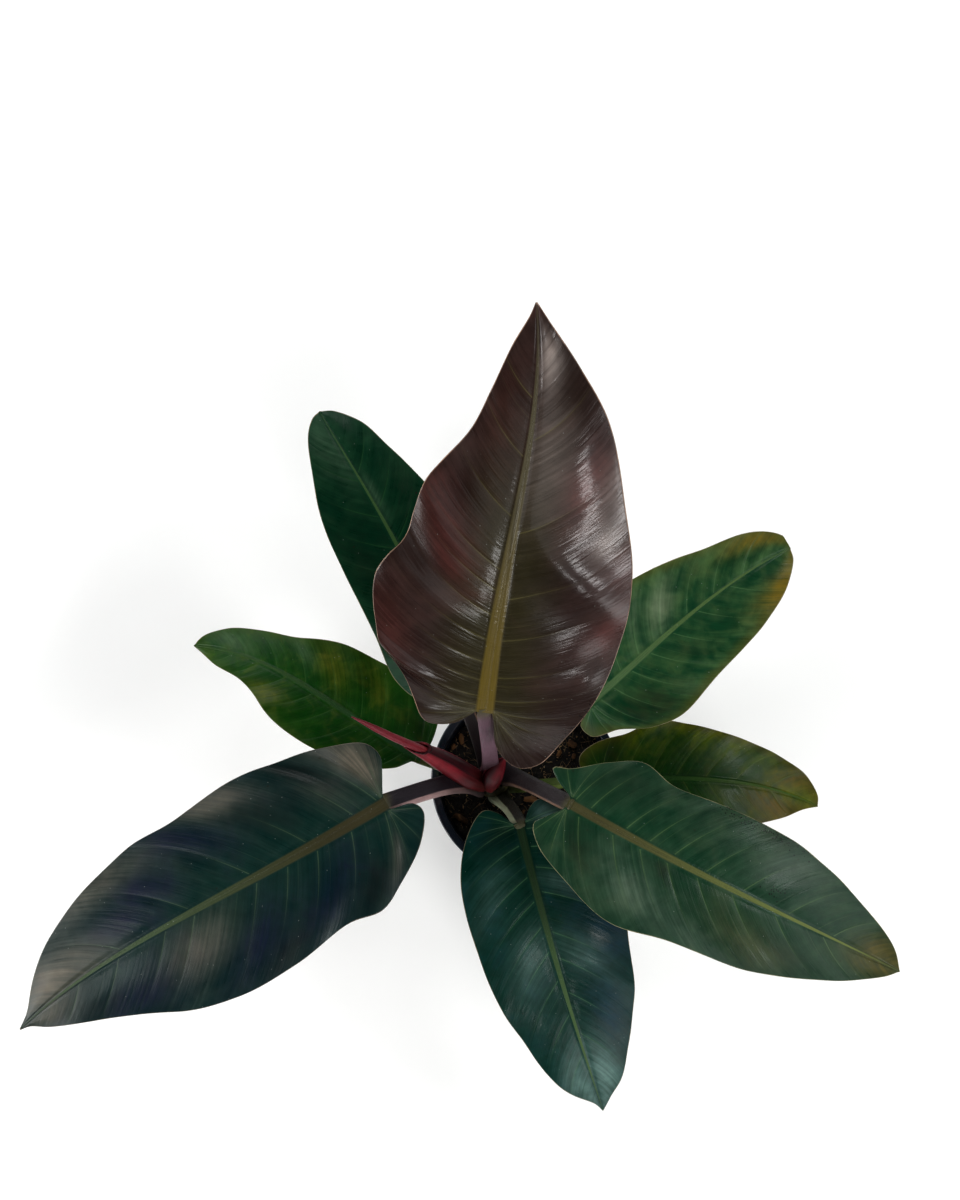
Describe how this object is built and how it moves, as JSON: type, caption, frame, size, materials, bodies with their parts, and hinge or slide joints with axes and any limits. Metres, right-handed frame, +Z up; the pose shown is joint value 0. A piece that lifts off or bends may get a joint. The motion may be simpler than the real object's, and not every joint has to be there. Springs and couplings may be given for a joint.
{
  "type": "potted imperial red philodendron",
  "caption": "Potted aroid house plant: a loose rosette of broad glossy maroon and dark green leaves round a short stem, with red leaf sheaths, in a round black nursery pot.",
  "frame": {"origin": "centre of the flat underside of the pot", "axes": "+Z up out of the pot, +Y towards the tall maroon leaf at the back, +X to the right, along the longest spread of the leaves"},
  "size_m": [0.5705, 0.4644, 0.4301],
  "materials": {
    "pot_plastic": "gloss",
    "potting_mix": "matte",
    "bark": "matte",
    "stem_skin": "satin",
    "red_sheath": "satin",
    "red_rolled_leaf": "gloss",
    "maroon_blade": "gloss",
    "blue_black_blade": "gloss",
    "dark_green_blade": "gloss",
    "mid_green_blade": "gloss",
    "olive_blade": "satin",
    "mauve_stalk": "satin",
    "dark_stalk": "satin",
    "green_stalk": "satin"
  },
  "bodies": {
    "root": {"nursery_pot": "pot_plastic", "potting_mix": "potting_mix", "bark_chip_01": "bark", "bark_chip_02": "bark", "bark_chip_03": "bark", "bark_chip_04": "bark", "bark_chip_05": "bark", "bark_chip_06": "bark", "bark_chip_07": "bark", "bark_chip_08": "bark", "bark_chip_09": "bark", "bark_chip_10": "bark", "bark_chip_11": "bark", "bark_chip_12": "bark", "stem": "stem_skin", "new_leaf_rolled": "red_rolled_leaf", "new_leaf_sheath": "red_sheath", "bud_sheath": "red_sheath", "leaf_1_blade": "maroon_blade", "leaf_1_stalk": "mauve_stalk", "leaf_2_blade": "blue_black_blade", "leaf_2_stalk": "dark_stalk", "leaf_3_blade": "dark_green_blade", "leaf_3_stalk": "dark_stalk", "leaf_4_blade": "dark_green_blade", "leaf_4_stalk": "dark_stalk", "leaf_5_blade": "dark_green_blade", "leaf_5_stalk": "dark_stalk", "leaf_6_blade": "mid_green_blade", "leaf_6_stalk": "green_stalk", "leaf_7_blade": "mid_green_blade", "leaf_7_stalk": "green_stalk", "leaf_8_blade": "olive_blade", "leaf_8_stalk": "green_stalk"}
  },
  "joints": []
}
